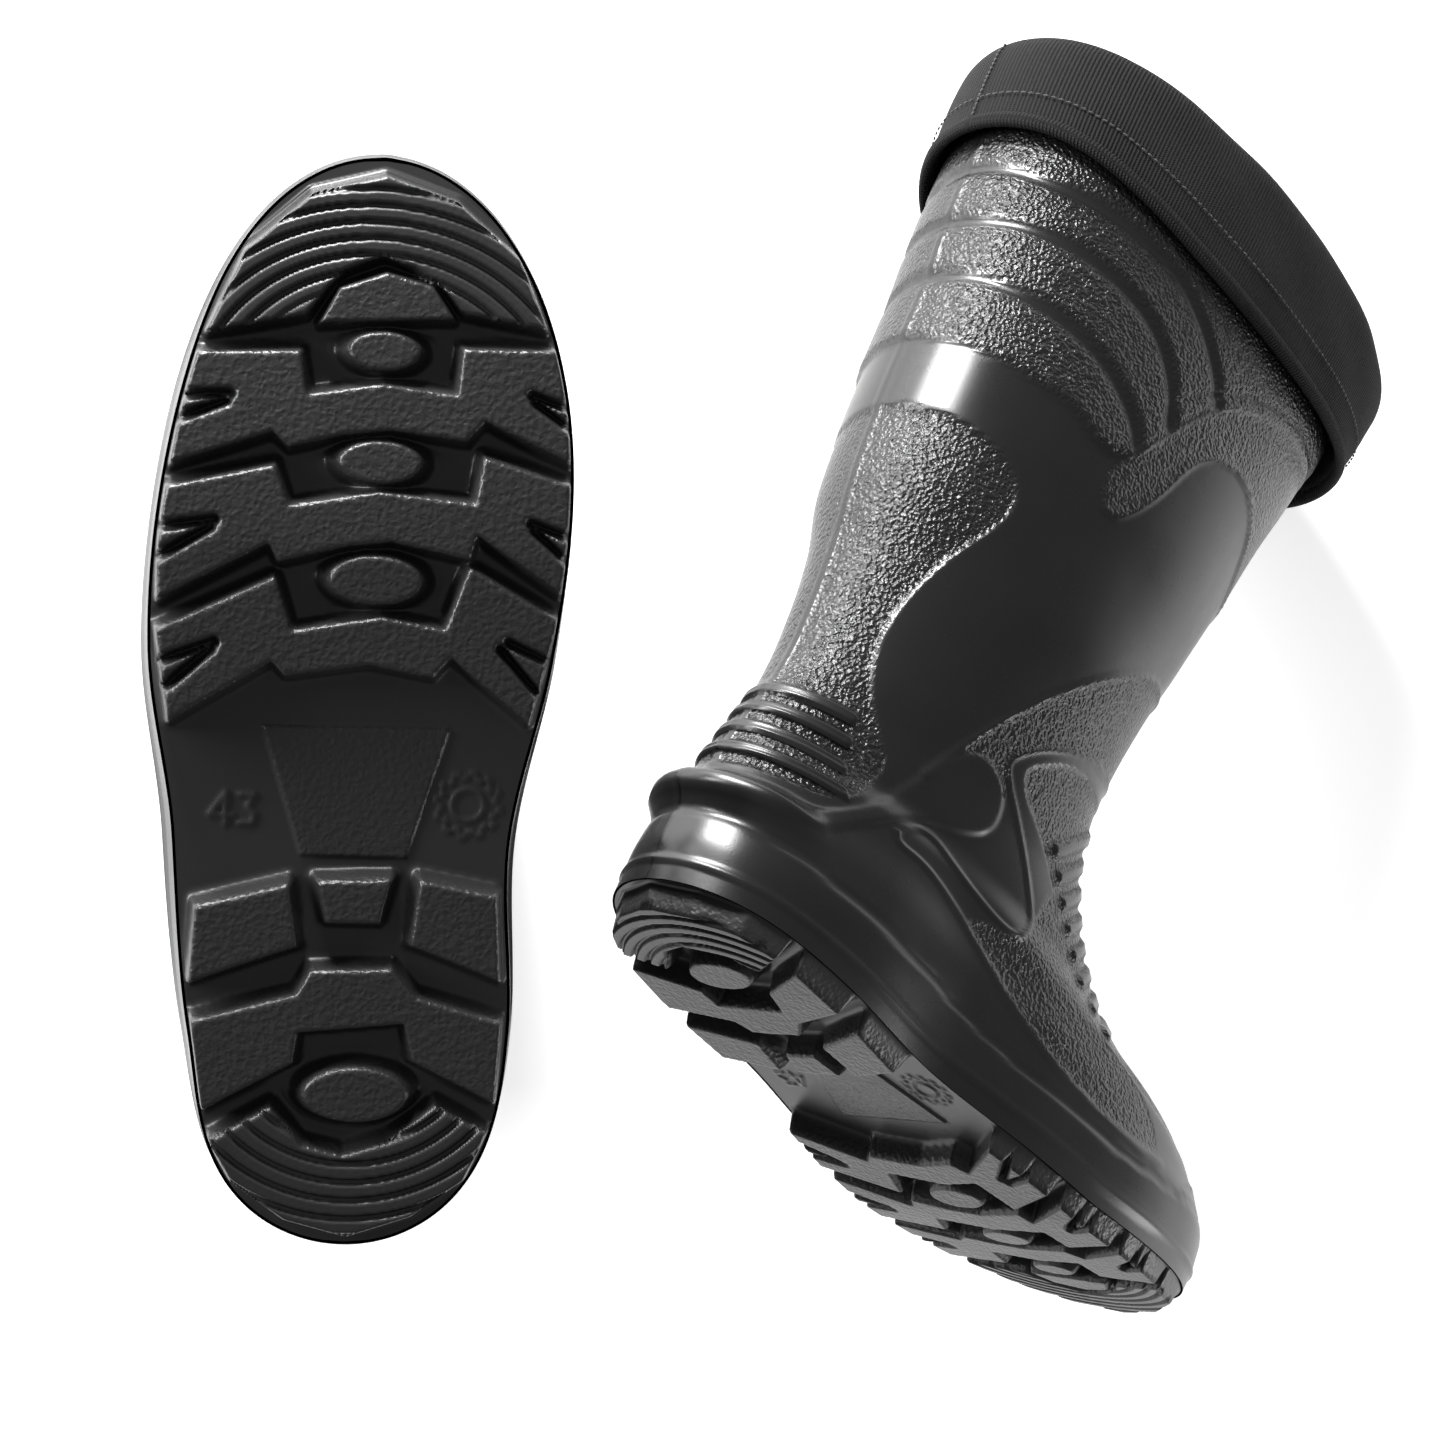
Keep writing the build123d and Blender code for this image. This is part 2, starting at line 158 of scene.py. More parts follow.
def pchip(knots, values, at):
    """Shape-preserving cubic through rows of values."""
    knots, values, at = np.asarray(knots, float), np.asarray(values, float), np.asarray(at, float)
    tail = (1,) * (values.ndim - 1)
    gap = np.diff(knots).reshape(-1, *tail)
    rate = np.diff(values, axis=0) / gap
    slope = np.zeros_like(values)
    a, b = rate[:-1], rate[1:]
    with np.errstate(divide="ignore", invalid="ignore"):
        w1, w2 = 2 * gap[1:] + gap[:-1], gap[1:] + 2 * gap[:-1]
        mean = (w1 + w2) / (w1 / a + w2 / b)
    slope[1:-1] = np.where(a * b > 0, mean, 0)
    slope[0], slope[-1] = rate[0], rate[-1]
    k = np.clip(np.searchsorted(knots, at, "right") - 1, 0, len(knots) - 2)
    t = ((at - knots[k]) / np.diff(knots)[k]).reshape(-1, *tail)
    h = gap[k]
    return (values[k] * (1 + 2 * t) * (1 - t) ** 2 + slope[k] * h * t * (1 - t) ** 2
            + values[k + 1] * t * t * (3 - 2 * t) - slope[k + 1] * h * t * t * (1 - t))


def step(x, low, high):
    t = np.clip((x - low) / (high - low), 0, 1)
    return t * t * (3 - 2 * t)


def spring(y):
    return SPRING_RISE * np.clip((y - SPRING_START) / (TOE_END - SPRING_START), 0, 1.2) ** 1.3


def surface(levels, rows, cols, even=True):
    """Grid of points through the girth lines, its rows evenly spaced up the boot."""
    n = len(levels)
    knots = np.arange(n)
    angle = np.linspace(0, 2 * math.pi, cols, endpoint=False)
    share = (1 - np.cos(angle)) / 2

    def grid(at):
        ends = pchip(knots, [[*l[0], *l[1]] for l in levels], at)
        medial = pchip(knots, [l[2] for l in levels], at)
        lateral = pchip(knots, [l[3] for l in levels], at)
        wide = np.where(np.sin(angle)[:, None] >= 0, pchip(SHARE, medial.T, share),
                        pchip(SHARE, lateral.T, share)).T
        y = ends[:, 0:1] + (ends[:, 2:3] - ends[:, 0:1]) * share
        z = ends[:, 1:2] + (ends[:, 3:4] - ends[:, 1:2]) * share
        return np.dstack([wide * np.sin(angle), y, z])

    if not even:
        return grid(np.linspace(0, n - 1, rows))
    fine = np.linspace(0, n - 1, 20 * n)
    run = np.linalg.norm(np.diff(grid(fine)[:, ::max(cols // 24, 1)], axis=0), axis=2).max(axis=1)
    length = np.concatenate([[0], np.cumsum(run)])
    return grid(np.interp(np.linspace(0, length[-1], rows), length, fine))


def normals(P):
    """Outward normals of a grid closed round its columns."""
    du = np.roll(P, -1, axis=1) - np.roll(P, 1, axis=1)
    dv = np.gradient(P, axis=0)
    n = np.cross(du, dv)
    n /= np.maximum(np.linalg.norm(n, axis=2, keepdims=True), 1e-9)
    centre = P.mean(axis=1, keepdims=True)
    if ((P - centre) * n).sum() < 0:
        n = -n
    return n


def inset(level, depth):
    rear, front, medial, lateral = level
    return ((rear[0] + depth, rear[1]), (front[0] - depth, front[1]),
            tuple(w - depth for w in medial), tuple(w - depth for w in lateral))


def shifted(level, up):
    rear, front, medial, lateral = level
    return ((rear[0], rear[1] + up), (front[0], front[1] + up), medial, lateral)


def to_segment(u, v, a, b):
    ax, ay, bx, by = *a, *b
    dx, dy = bx - ax, by - ay
    t = np.clip(((u - ax) * dx + (v - ay) * dy) / (dx * dx + dy * dy), 0, 1)
    return np.hypot(u - ax - t * dx, v - ay - t * dy)


def to_line(u, v, points):
    return np.min([to_segment(u, v, a, b) for a, b in zip(points, points[1:])], axis=0)


def rounded(points, closed=False):
    """Polyline with its corners cut off twice."""
    p = np.array(points, float)
    for _ in range(2):
        if closed:
            q = np.roll(p, -1, axis=0)
            p = np.stack([0.75 * p + 0.25 * q, 0.25 * p + 0.75 * q], axis=1).reshape(-1, 2)
        else:
            cut = np.stack([0.75 * p[:-1] + 0.25 * p[1:], 0.25 * p[:-1] + 0.75 * p[1:]], axis=1)
            p = np.vstack([p[:1], cut.reshape(-1, 2), p[-1:]])
    return [tuple(q) for q in p]


def inside(u, v, points):
    """Signed distance to a closed outline, positive inside."""
    loop = points + points[:1]
    within = np.zeros(u.shape, bool)
    for (ax, ay), (bx, by) in zip(loop, loop[1:]):
        if ay == by:
            continue
        cross = (ay > v) != (by > v)
        within ^= cross & (u < (bx - ax) * (v - ay) / (by - ay) + ax)
    return np.where(within, 1, -1) * to_line(u, v, loop)


def ridge(distance, width, height):
    return height * (1 - step(distance, 0.15 * width, 0.75 * width))


def upper_relief(P):
    """Height of the moulded relief, and where the surface is pebbled, at every point of the upper."""
    x, y, z = P[..., 0], P[..., 1], P[..., 2]
    h = np.zeros(y.shape)
    pebble = np.zeros(y.shape)

    bands = inside(y, z, rounded(BANDS, True))
    edge = step(bands, -1.6, 1.4)
    groove = np.min([to_line(y, z, rounded(g)) for g in GROOVES], axis=0)
    cut = 1 - step(groove, 1.6, 4.4)
    h += 1.9 * edge * (1 - cut)
    pebble = np.maximum(pebble, edge * (1 - cut))

    h += ridge(to_line(y, z, rounded(S_UPPER)), 3.0, 0.8)
    h -= ridge(to_line(y, z, rounded(S_UPPER_EDGE)), 3.6, 0.8)
    field = step(inside(y, z, rounded(S_FIELD, True)), -0.8, 1.0)
    h += 0.5 * field * (1 - edge) + ridge(to_line(y, z, rounded(S_LOWER)), 2.8, 0.7)
    pebble = np.maximum(pebble, field * 0.75)

    back = step(inside(y, z, rounded(BACK_PANEL, True)), -0.6, 1.6)
    ribs = np.min([to_segment(y, z, a, b) for a, b in RIBS], axis=0)
    ribbed = step(z, 60, 63) * (1 - step(z, 102, 105))
    h += -0.7 * back * (1 - ribbed * 0.5)
    h += 1.7 * (1 - step(ribs, 1.4, 3.0)) - 0.5 * (1 - step(ribs, 0.0, 0.8))
    pebble = np.maximum(pebble, back * step(ribs, 2.4, 3.4))

    h += ridge(to_line(y, z, rounded(ANKLE_LINE)), 2.6, 0.8)
    strap = step(inside(y, z, rounded(STRAP, True)), -1.0, 1.4)
    h += 1.1 * strap
    pebble *= 1 - strap
    h += ridge(to_line(y, z, rounded(V_LINE)), 2.2, 0.7) * (1 - strap)
    h += ridge(to_line(y, z, rounded(V_OUTER)), 2.2, 0.6) * (1 - strap)

    panel = step(inside(y, z, rounded(INSTEP_PANEL, True)), -0.8, 1.2)
    high = step(inside(y, z, rounded(INSTEP_UPPER, True)), -0.8, 1.2)
    h += -0.6 * panel + 0.3 * high
    bars = np.full(y.shape, 99.0)
    for k in range(BARS):
        start = BAR_FIRST + (BAR_LAST - BAR_FIRST) * k / (BARS - 1)
        bars = np.minimum(bars, to_segment(y, z, start, start + BAR_RUN))
    bar = 1 - step(bars, 1.9, 3.2)
    h += 1.4 * bar
    pebble = np.maximum(pebble, np.maximum(panel, high * (1 - strap)) * (1 - bar))
    vamp = step(inside(y, z, rounded(VAMP_FIELD, True)), -0.5, 2.5)
    pebble = np.maximum(pebble, 0.6 * vamp * (1 - strap))

    # foxing, welt and toe cap
    rand_z = np.interp(y, *zip(*RAND))
    below = 1 - step(z - rand_z, -0.6, 0.8)
    h += 0.9 * below
    h -= ridge(np.abs(z - rand_z - 1.2), 2.0, 0.5)
    h += ridge(np.abs(z - spring(y) - 17), 2.2, 0.7)
    h += 0.8 * step(inside(y, z, rounded(TOE_CAP, True)), -0.6, 1.0) * (1 - below)

    # kick-off ledge across the back of the heel
    rise = np.interp(z, (36, 39, 42, 45, 49, 52, 55, 58), (0, 0.8, 2.6, 5.2, 6.3, 4.0, 1.2, 0))
    h += rise * (1 - step(y, 2, 30))

    # mould parting line down the back and over the front
    across = np.abs(x)
    rear = y < np.interp(z, (0, 120, 400), (60, 60, 40))
    seam = np.where(rear, 0.7, 0.35)
    h += ridge(across, 5.0, 0.5) * seam * step(z, 20, 24)
    flat = 1 - (1 - step(across, 1.5, 3.5)) * 0.8
    return h, pebble * flat


def tread_relief(x, y, reads):
    """Lug height above the channel floor, and where it is pebbled."""
    distance = np.full(x.shape, -99.0)
    for outline in (TOE_BLOCK, HALF_MOON, ROW_1, ROW_2, ROW_3, *HEEL_1, HEEL_2, HEEL_BLOCK):
        distance = np.maximum(distance, inside(x, y, outline))
    for (cx, cy), (rx, ry) in OVALS:
        distance = np.maximum(distance, (1 - np.hypot((x - cx) / rx, (y - cy) / ry)) * ry)
    slots = np.min([to_segment(x, y, a, b) for a, b in NOTCHES], axis=0)
    distance = np.minimum(distance, slots - 1.5)
    lug = step(distance, -2.4, 0.6)
    shank = step(inside(x, y, SHANK), -0.5, 0.5)
    h = FLOOR * lug + 1.0 * shank * (1 - lug)
    toe = inside(x, y, TOE_BLOCK) > 0
    arc = np.hypot(x * 0.9, y - 232)
    ribs = step(np.abs((arc / 4.6) % 1 - 0.5), 0.28, 0.40)
    h -= np.where(toe, 1.6 * ribs * step(arc, 36, 38), 0)
    heel = inside(x, y, HEEL_BLOCK) > 0
    arc = np.hypot(x, y - 62)
    ribs = step(np.abs((arc / 5.4) % 1 - 0.5), 0.28, 0.40)
    h -= np.where(heel, 1.6 * ribs * step(arc, 34, 36), 0)
    dimple = np.hypot(x - 30, y - 123)
    h += 0.7 * ridge(np.abs(dimple - 4.6), 1.2, 1.0)
    cog = dimple + 0.7 * np.sign(np.sin(12 * np.arctan2(y - 123, x - 30)))
    h += 0.5 * (1 - step(np.abs(cog - 8.6), 0.6, 1.2))
    mark = np.min([to_line(-36.5 + reads * (x + 36.5), y, stroke) for stroke in SIZE_MARK], axis=0)
    h += 0.7 * (1 - step(mark, 0.5, 1.1))
    h += 0.35 * (1 - step(np.abs(distance + 2.4), 0.3, 1.0)) * (1 - lug)
    pebble = np.maximum(lug * (1 - 0.8 * np.where(toe | heel, 1, 0)), 0.8 * shank)
    return h, pebble


def rotation(angles):
    a, b, c = (math.radians(v) for v in angles)
    rx = np.array([[1, 0, 0], [0, math.cos(a), -math.sin(a)], [0, math.sin(a), math.cos(a)]])
    ry = np.array([[math.cos(b), 0, math.sin(b)], [0, 1, 0], [-math.sin(b), 0, math.cos(b)]])
    rz = np.array([[math.cos(c), -math.sin(c), 0], [math.sin(c), math.cos(c), 0], [0, 0, 1]])
    return rx @ ry @ rz


def placed(side, points):
    offset, angles = PLACES[side]
    p = np.array(points, float).reshape(-1, 3)
    if side == "right":
        p = p * (-1, 1, 1)
    return (p @ rotation(angles).T + offset) / 1000


def make(side, name, points, faces, material, body, nodes=(), layers=None, uv=None):
    """One piece of one boot, in its place, riding on its body."""
    mesh = bpy.data.meshes.new(f"{side}_{name}")
    faces = np.asarray(faces)
    if side == "right":
        faces = faces[:, ::-1]
    mesh.from_pydata(placed(side, points).tolist(), [], faces.tolist())
    for layer, values in (layers or {}).items():
        a = mesh.attributes.new(layer, "FLOAT", "POINT")
        a.data.foreach_set("value", np.asarray(values, np.float32).ravel())
    if uv is not None:
        where = np.empty(len(mesh.loops), np.int32)
        mesh.loops.foreach_get("vertex_index", where)
        u = np.asarray(uv, np.float32).reshape(-1, 2)[where]
        mesh.uv_layers.new(name="cloth").data.foreach_set("uv", u.ravel())
    mesh.polygons.foreach_set("use_smooth", np.ones(len(mesh.polygons), bool))
    mesh.materials.append(material)
    mesh.validate()
    obj = bpy.data.objects.new(f"{side}_{name}", mesh)
    bpy.context.scene.collection.objects.link(obj)
    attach(obj, f"{side}_{body}")
    if nodes:
        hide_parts(*[f"{side}_{n}" for n in nodes])
    return obj


def quads(rows, cols, wrap_rows=False):
    """Faces of a grid closed round its columns, outside out."""
    r = np.arange(rows if wrap_rows else rows - 1)
    c = np.arange(cols)
    i, j = np.meshgrid(r, c, indexing="ij")
    i2, j2 = (i + 1) % rows, (j + 1) % cols
    corners = [i * cols + j, i2 * cols + j, i2 * cols + j2, i * cols + j2]
    return np.stack(corners, axis=-1).reshape(-1, 4)


# ---- materials ----
def material(name, colour, roughness, build=None, **inputs):
    mat = bpy.data.materials.new(name)
    mat.use_nodes = True
    nodes, links = mat.node_tree.nodes, mat.node_tree.links
    shader = nodes["Principled BSDF"]
    shader.inputs["Base Color"].default_value = (*colour, 1)
    shader.inputs["Roughness"].default_value = roughness
    for key, value in inputs.items():
        shader.inputs[key.replace("_", " ")].default_value = value
    if build:
        build(nodes, links, shader)
    return mat


def node(nodes, kind, **settings):
    n = nodes.new(kind)
    for key, value in settings.items():
        if key in n.inputs:
            n.inputs[key].default_value = value
        else:
            setattr(n, key, value)
    return n


def noise(nodes, links, where, scale, detail=3.0, rough=0.5):
    n = node(nodes, "ShaderNodeTexNoise", Scale=scale, Detail=detail, Roughness=rough)
    links.new(where, n.inputs["Vector"])
    return n.outputs["Fac"]


def maths(nodes, links, operation, a, b):
    n = nodes.new("ShaderNodeMath")
    n.operation = operation
    for socket, value in zip(n.inputs, (a, b)):
        if isinstance(value, (int, float)):
            socket.default_value = value
        else:
            links.new(value, socket)
    return n.outputs[0]


def moulded(nodes, links, shader, scale=620.0, depth=0.0008, gloss=0.22):
    """Moulded foam: a fine skin everywhere, leather-like pebble where the mask says."""
    where = nodes.new("ShaderNodeTexCoord").outputs["Object"]
    mask = node(nodes, "ShaderNodeAttribute", attribute_name="pebble").outputs["Fac"]
    cells = node(nodes, "ShaderNodeTexVoronoi", feature="SMOOTH_F1", Scale=scale)
    cells.inputs["Smoothness"].default_value = 0.6
    warp = nodes.new("ShaderNodeVectorMath")
    warp.operation = "ADD"
    links.new(where, warp.inputs[0])
    swirl = node(nodes, "ShaderNodeTexNoise", Scale=300.0, Detail=2.0)
    links.new(where, swirl.inputs["Vector"])
    small = nodes.new("ShaderNodeVectorMath")
    small.operation = "SCALE"
    links.new(swirl.outputs["Color"], small.inputs[0])
    small.inputs["Scale"].default_value = 0.0025
    links.new(small.outputs[0], warp.inputs[1])
    links.new(warp.outputs[0], cells.inputs["Vector"])
    grain = maths(nodes, links, "MULTIPLY", cells.outputs["Distance"], mask)
    rough_grain = maths(nodes, links, "MULTIPLY", noise(nodes, links, where, 900.0), mask)
    grain = maths(nodes, links, "ADD", grain, maths(nodes, links, "MULTIPLY", rough_grain, 0.45))
    skin = maths(nodes, links, "MULTIPLY", noise(nodes, links, where, 1500.0, 2.0), 0.035)
    wave = maths(nodes, links, "MULTIPLY", noise(nodes, links, where, 28.0, 2.0), 0.25)
    height = maths(nodes, links, "ADD", maths(nodes, links, "ADD", grain, skin), wave)
    bump = node(nodes, "ShaderNodeBump", Strength=1.0, Distance=depth)
    links.new(height, bump.inputs["Height"])
    links.new(bump.outputs[0], shader.inputs["Normal"])
    patch = maths(nodes, links, "MULTIPLY", noise(nodes, links, where, 45.0, 4.0), 0.12)
    links.new(maths(nodes, links, "ADD", patch, gloss), shader.inputs["Roughness"])


def moulded_upper(nodes, links, shader):
    """The upper also has a dark parting line down its back and front."""
    moulded(nodes, links, shader)
    across = node(nodes, "ShaderNodeAttribute", attribute_name="across").outputs["Fac"]
    place = nodes.new("ShaderNodeTexCoord").outputs["Object"]
    wander = maths(nodes, links, "MULTIPLY", noise(nodes, links, place, 60.0, 3.0), 0.9)
    off = maths(nodes, links, "ABSOLUTE", maths(nodes, links, "ADD", across,
                                                maths(nodes, links, "SUBTRACT", wander, 0.45)), 0)
    line = node(nodes, "ShaderNodeMapRange")
    line.inputs["From Min"].default_value, line.inputs["From Max"].default_value = 0.25, 0.7
    line.inputs["To Min"].default_value, line.inputs["To Max"].default_value = 0.001, 0.0085
    links.new(off, line.inputs["Value"])
    links.new(line.outputs[0], shader.inputs["Base Color"])


def moulded_tread(nodes, links, shader):
    moulded(nodes, links, shader, 560.0, 0.0003, 0.30)


def felted(nodes, links, shader):
    where = nodes.new("ShaderNodeTexCoord").outputs["Object"]
    fibres = maths(nodes, links, "ADD", noise(nodes, links, where, 1100.0, 4.0, 0.7),
                   noise(nodes, links, where, 240.0, 3.0))
    bump = node(nodes, "ShaderNodeBump", Strength=0.9, Distance=0.0008)
    links.new(fibres, bump.inputs["Height"])
    links.new(bump.outputs[0], shader.inputs["Normal"])


def knitted(nodes, links, shader):
    """Rib knit: wales up the cuff, each a row of small loops."""
    where = node(nodes, "ShaderNodeUVMap", uv_map="cloth").outputs[0]
    split = nodes.new("ShaderNodeSeparateXYZ")
    links.new(where, split.inputs[0])
    u, v = split.outputs["X"], split.outputs["Y"]
    turn = 2 * math.pi
    wale = maths(nodes, links, "MULTIPLY", u, turn / 1.5)
    half = maths(nodes, links, "MULTIPLY", wale, 0.5)
    lean = maths(nodes, links, "ABSOLUTE", maths(nodes, links, "SINE", half, 0), 0)
    course = maths(nodes, links, "ADD", maths(nodes, links, "MULTIPLY", v, turn / 1.15),
                   maths(nodes, links, "MULTIPLY", lean, 3.0))
    loops = maths(nodes, links, "SINE", course, 0)
    ribs = maths(nodes, links, "COSINE", wale, 0)
    height = maths(nodes, links, "ADD", maths(nodes, links, "MULTIPLY", loops, 0.22),
                   maths(nodes, links, "MULTIPLY", ribs, 0.5))
    place = nodes.new("ShaderNodeTexCoord").outputs["Object"]
    fuzz = noise(nodes, links, place, 1800.0, 3.0, 0.7)
    height = maths(nodes, links, "ADD", height, maths(nodes, links, "MULTIPLY", fuzz, 0.5))
    bump = node(nodes, "ShaderNodeBump", Strength=0.85, Distance=0.0005)
    links.new(height, bump.inputs["Height"])
    links.new(bump.outputs[0], shader.inputs["Normal"])
    # Painted shade: the base colour follows the knit's height, darker in the hollows between wales and loops; the
    # fuzz adds random tone.
    hollow_shade_and_fuzz_tone = node(nodes, "ShaderNodeMapRange")
    hollow_shade_and_fuzz_tone.inputs["From Min"].default_value, hollow_shade_and_fuzz_tone.inputs["From Max"].default_value = -0.6, 1.1
    hollow_shade_and_fuzz_tone.inputs["To Min"].default_value, hollow_shade_and_fuzz_tone.inputs["To Max"].default_value = 0.001, 0.009
    links.new(height, hollow_shade_and_fuzz_tone.inputs["Value"])
    links.new(hollow_shade_and_fuzz_tone.outputs[0], shader.inputs["Base Color"])


FOAM = material("boot_foam", (0.0115, 0.0115, 0.012), 0.3, moulded_upper, Specular_IOR_Level=0.5)
TREAD = material("tread_foam", (0.022, 0.022, 0.0225), 0.36, moulded_tread, Specular_IOR_Level=0.45)
FELT = material("liner_felt", (0.030, 0.030, 0.033), 0.95, felted, Sheen_Weight=0.35, Sheen_Roughness=0.5)
KNIT = material("cuff_knit", (0.015, 0.015, 0.015), 0.85, knitted, Specular_IOR_Level=0.25)
PAD = material("insole_foam", (0.045, 0.045, 0.048), 0.8, felted)
THREAD = material("seam_thread", (0.018, 0.018, 0.018), 0.6, felted, Sheen_Weight=0.2)


# ---- pieces ----
def upper(side):
    cols = UPPER_COLS
    outer = surface(OUTER, UPPER_ROWS, cols)
    lift = spring(outer[..., 1]) * (1 - step(outer[..., 2], 9, 40))
    outer[..., 2] += lift
    h, pebble = upper_relief(outer)
    rim_fade = 1 - step(np.arange(len(outer)), len(outer) - 4, len(outer) - 1)[:, None]
    outer = outer + normals(outer) * (h * rim_fade)[..., None]
    inner = surface([inset(l, WALL) for l in CAVITY[:0:-1]], INNER_ROWS, cols)
    bed = surface([FOOTBED, FOOTBED], 2, cols, even=False)[0]
    cap = [np.column_stack([bed[:, 0] * k, bed[:, 1], bed[:, 2]]) for k in (1, 0.6, 0.2, 0)]
    P = np.concatenate([outer, inner, np.array(cap)])
    mask = np.zeros(P.shape[:2])
    mask[:len(outer)] = pebble
    faces = quads(len(P), cols)
    return make(side, "boot_upper", P, faces, FOAM, "boot", ("boot_shell",),
                {"pebble": mask, "across": P[..., 0]})


def sole(side):
    rows, cols = TREAD_ROWS, TREAD_COLS
    t = np.linspace(0, 1, rows)
    share = 0.75 * t + 0.25 * (1 - np.cos(math.pi * t)) / 2
    bulge = 2 * np.sqrt(np.clip(share * (1 - share), 0, 1))
    medial = pchip(SHARE, np.array(BASE[2])[:, None], share)[:, 0] * bulge
    lateral = pchip(SHARE, np.array(BASE[3])[:, None], share)[:, 0] * bulge
    k = np.linspace(-1, 1, cols)
    x = np.where(k >= 0, medial[:, None] * k, lateral[:, None] * k)
    y = np.repeat((BASE[0][0] + (BASE[1][0] - BASE[0][0]) * share)[:, None], cols, axis=1)
    h, pebble = tread_relief(x, y, 1 if side == "right" else -1)
    rim = np.minimum(1 - np.abs(k)[None, :], 0.08) / 0.08
    ends = np.minimum(np.minimum(share, 1 - share), 0.01)[:, None] / 0.01
    h = h * np.clip(rim * 4, 0, 1) * ends
    z = FLOOR + spring(y) - h
    P = np.dstack([x, y, z])
    i, j = np.meshgrid(np.arange(rows - 1), np.arange(cols - 1), indexing="ij")
    a = i * cols + j
    faces = np.stack([a, a + cols, a + cols + 1, a + 1], axis=-1).reshape(-1, 4)
    return make(side, "boot_tread", P, faces, TREAD, "boot", (), {"pebble": pebble})


def cloth_uv(P):
    """Millimetres round and along the cloth."""
    round_ = np.linalg.norm(np.diff(P, axis=1, append=P[:, :1]), axis=2).mean(axis=0)
    u = np.concatenate([[0], np.cumsum(round_)[:-1]])
    along = np.linalg.norm(np.diff(P, axis=0), axis=2).mean(axis=1)
    v = np.concatenate([[0], np.cumsum(along)])
    return np.dstack(np.meshgrid(u, v))


def dipped(P):
    """Lowers the sides of the cuff, most at the hem."""
    share = (P[..., 1] + 42) / 245
    side = np.clip(4 * share * (1 - share), 0, 1) ** 1.5
    weight = 1 - step(P[..., 2] - 14 * share, DIP_LOW, DIP_HIGH)
    P = P.copy()
    P[..., 2] -= HEM_DIP * side * weight
    return P


def ring(rear, front, half):
    return (rear, front, oval(half), oval(half + 1))


CUFF_OUTER = [ring((-41.5, 354), (202.5, 369), 65.5), ring((-43, 360), (204.5, 375), 66.8),
              ring((-45, 374), (208, 390), 67.2), ring((-46, 391), (211, 408), 67),
              ring((-45, 398), (209.5, 414.5), 66), ring((-41.5, 402), (205.5, 418.5), 63),
              ring((-36.5, 402.5), (199, 419), 59.5), ring((-31.5, 400), (192.5, 416), 56),
              ring((-27.5, 393), (187, 409), 52.5), ring((-24, 372), (181, 386), 51),
              ring((-22.9, 357.5), (178.6, 369.5), 51)]
CUFF_UNDER = [ring((-26.5, 357.5), (182, 369.5), 54.4), ring((-30, 385), (187, 400), 54.6),
              ring((-31.5, 396.5), (190, 412), 56), ring((-36.5, 399), (196, 414.5), 60),
              ring((-38.8, 395), (198, 411), 62.8), ring((-38.6, 372), (198, 388), 62.8),
              ring((-38.6, 358), (198, 373), 62.8)]


def cuff(side):
    cols = CUFF_COLS
    levels = CUFF_OUTER + CUFF_UNDER + CUFF_OUTER[:1]
    P = dipped(surface(levels, CUFF_ROWS, cols)[:-1])
    n = normals(P)
    y, z = P[..., 1], P[..., 2]
    crease = np.sin(y * 0.11 + z * 0.05) * np.sin(z * 0.13 - y * 0.03)
    P = P + n * (0.35 * crease)[..., None]
    piece = make(side, "cuff_knit", P, quads(len(P), cols, True), KNIT, "liner",
                 ("cuff",), uv=cloth_uv(P))
    return piece


def hem(side):
    """Rolled lower edge of the cuff."""
    cols = CUFF_COLS
    centre = surface([ring((-41.5, 354.5), (202.5, 369.5), 65.6)] * 2, 2, cols, even=False)[0]
    centre = dipped(centre[None])[0]
    away = centre - centre.mean(axis=0)
    away[:, 2] = 0
    away /= np.linalg.norm(away, axis=1, keepdims=True)
    up = np.array((0, 0, 1.0))
    turns = np.linspace(0, 2 * math.pi, HEM_ROWS, endpoint=False)
    P = np.array([centre + away * 2.5 * math.cos(t) + up * 3.7 * math.sin(t) for t in turns])
    return make(side, "cuff_hem_roll", P, quads(len(P), cols, True)[:, ::-1], KNIT, "liner",
                ("cuff_hem",), uv=cloth_uv(P))


def stitches(side, name, node_name, line, pitch=3.2, radius=0.45, body="liner", closed=True):
    """Row of single stitches along a line of points."""
    if closed:
        line = np.vstack([line, line[:1]])
    length = np.concatenate([[0], np.cumsum(np.linalg.norm(np.diff(line, axis=0), axis=1))])
    count = int(length[-1] / pitch)
    points, faces = [], []
    sides, steps = 6, 5
    for k in range(count):
        at = (k + np.linspace(0.08, 0.84, steps)) * pitch
        middle = np.column_stack([np.interp(at, length, line[:, i]) for i in range(3)])
        along = middle[-1] - middle[0]
        along /= np.linalg.norm(along)
        a = np.cross(along, (0.3, 0.2, 0.93))
        a /= np.linalg.norm(a)
        b = np.cross(along, a)
        for i, size in enumerate((0.25, 0.85, 1, 0.85, 0.25)):
            for s in range(sides):
                angle = 2 * math.pi * s / sides
                points.append(middle[i] + radius * size * (a * math.cos(angle) + b * math.sin(angle)))
        base = k * sides * steps
        for i in range(steps - 1):
            for s in range(sides):
                n = (s + 1) % sides
                faces.append((base + i * sides + s, base + i * sides + n,
                              base + (i + 1) * sides + n, base + (i + 1) * sides + s))
    return make(side, name, np.array(points), faces, THREAD, body, (node_name,))


def loop_line(level, cols=240):
    return surface([level, level], 2, cols, even=False)[0]


def tube(side, name, node_name, levels, outer, inner, rows=50, cols=120):
    """Felt tube between two insets of the girth lines."""
    out = surface([inset(l, outer) for l in levels], rows, cols)
    within = surface([inset(l, inner) for l in levels], rows, cols)[::-1]
    P = np.concatenate([out, within])
    return make(side, name, P, quads(len(P), cols, True), FELT, "liner", (node_name,),
                uv=cloth_uv(P))


